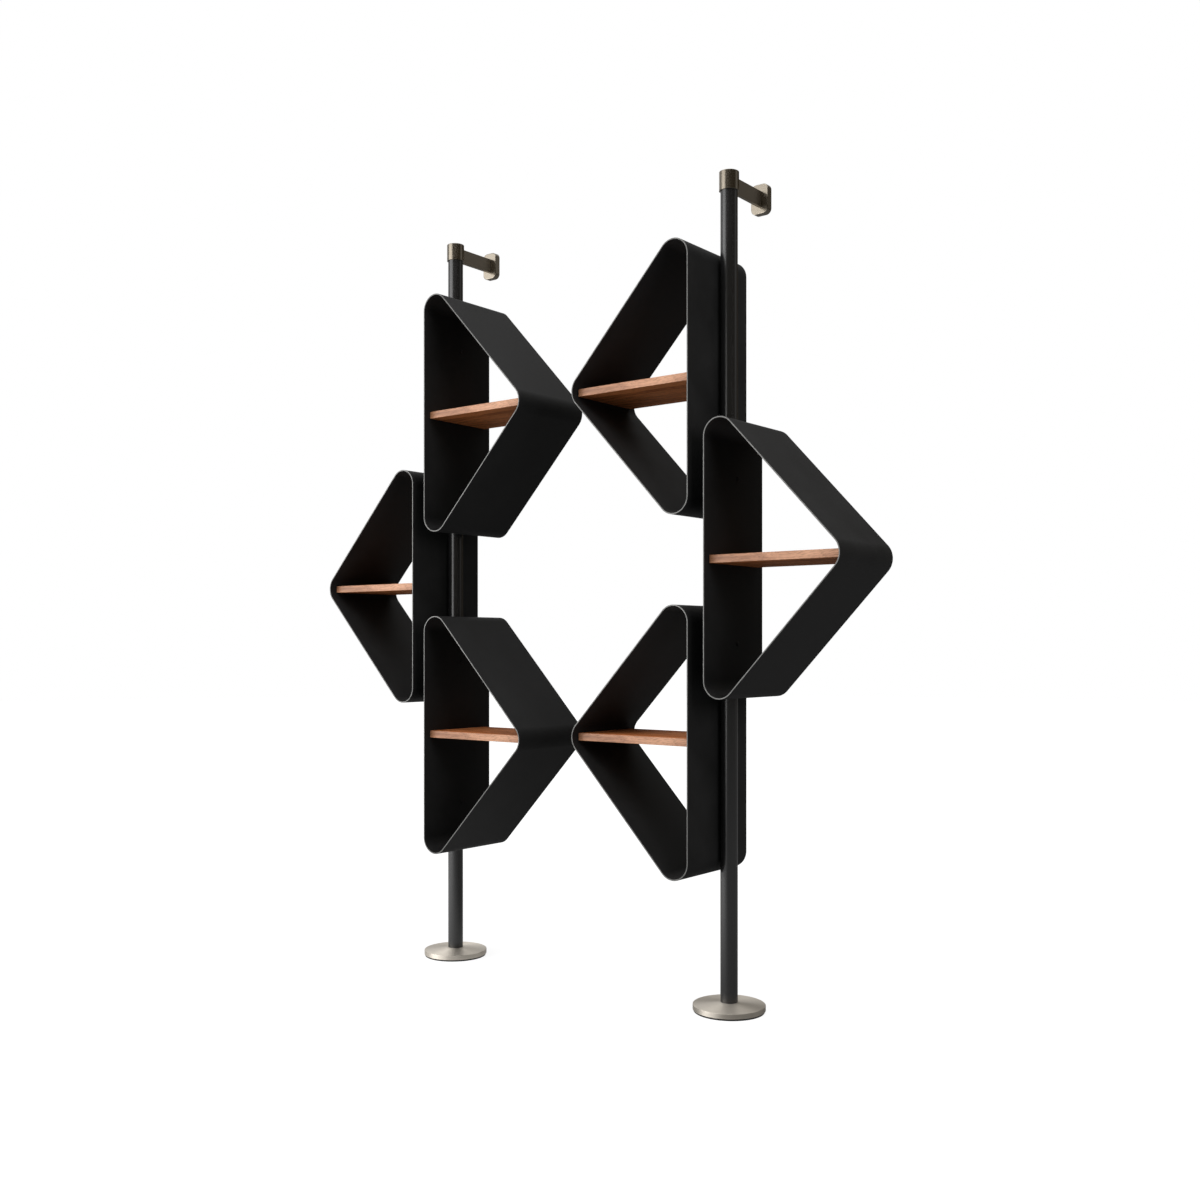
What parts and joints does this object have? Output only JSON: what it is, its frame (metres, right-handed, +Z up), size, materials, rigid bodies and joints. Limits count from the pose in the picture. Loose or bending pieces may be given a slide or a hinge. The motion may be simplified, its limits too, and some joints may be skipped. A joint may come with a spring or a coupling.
{
  "type": "wall-steadied column bookcase",
  "caption": "Tall bookcase: round floor columns with wall brackets carry open rounded-triangle steel bands, each crossed by a walnut shelf.",
  "frame": {"origin": "on the floor, midway between the columns, midway between the bands' front edges and the wall", "axes": "+X to the right seen from the front, +Y back to the wall, +Z up"},
  "size_m": [2.0998, 0.385, 2.5687],
  "materials": {
    "band_lacquer": "matt fine-textured black lacquer on bent steel sheet",
    "column_lacquer": "satin black lacquer on steel tube",
    "satin_nickel": "satin nickel plate with a warm tone",
    "walnut": "open-pore oiled walnut",
    "plain_steel": "plain zinc-grey steel, hidden",
    "felt": "black pressed felt"
  },
  "bodies": {
    "root": {"left_base_pad": "felt", "left_base_disc": "satin_nickel", "left_base_bolt": "plain_steel", "left_foot_plug": "plain_steel", "left_column": "column_lacquer", "left_top_cap": "satin_nickel", "left_cap_screw": "plain_steel", "left_wall_arm": "satin_nickel", "left_arm_screw": "plain_steel", "left_wall_plate": "satin_nickel", "left_fixing_plate": "plain_steel", "left_plate_screw": "plain_steel", "right_base_pad": "felt", "right_base_disc": "satin_nickel", "right_base_bolt": "plain_steel", "right_foot_plug": "plain_steel", "right_column": "column_lacquer", "right_top_cap": "satin_nickel", "right_cap_screw": "plain_steel", "right_wall_arm": "satin_nickel", "right_arm_screw": "plain_steel", "right_wall_plate": "satin_nickel", "right_fixing_plate": "plain_steel", "right_plate_screw": "plain_steel", "upper_left_band": "band_lacquer", "upper_left_shelf": "walnut", "upper_left_upper_bolt": "band_lacquer", "upper_left_lower_bolt": "band_lacquer", "upper_left_root_tab": "plain_steel", "upper_left_apex_tab": "plain_steel", "middle_left_band": "band_lacquer", "middle_left_shelf": "walnut", "middle_left_upper_bolt": "band_lacquer", "middle_left_lower_bolt": "band_lacquer", "middle_left_root_tab": "plain_steel", "middle_left_apex_tab": "plain_steel", "lower_left_band": "band_lacquer", "lower_left_shelf": "walnut", "lower_left_upper_bolt": "band_lacquer", "lower_left_lower_bolt": "band_lacquer", "lower_left_root_tab": "plain_steel", "lower_left_apex_tab": "plain_steel", "upper_right_band": "band_lacquer", "upper_right_shelf": "walnut", "upper_right_upper_bolt": "band_lacquer", "upper_right_lower_bolt": "band_lacquer", "upper_right_root_tab": "plain_steel", "upper_right_apex_tab": "plain_steel", "middle_right_band": "band_lacquer", "middle_right_shelf": "walnut", "middle_right_upper_bolt": "band_lacquer", "middle_right_lower_bolt": "band_lacquer", "middle_right_root_tab": "plain_steel", "middle_right_apex_tab": "plain_steel", "lower_right_band": "band_lacquer", "lower_right_shelf": "walnut", "lower_right_upper_bolt": "band_lacquer", "lower_right_lower_bolt": "band_lacquer", "lower_right_root_tab": "plain_steel", "lower_right_apex_tab": "plain_steel"}
  },
  "joints": []
}
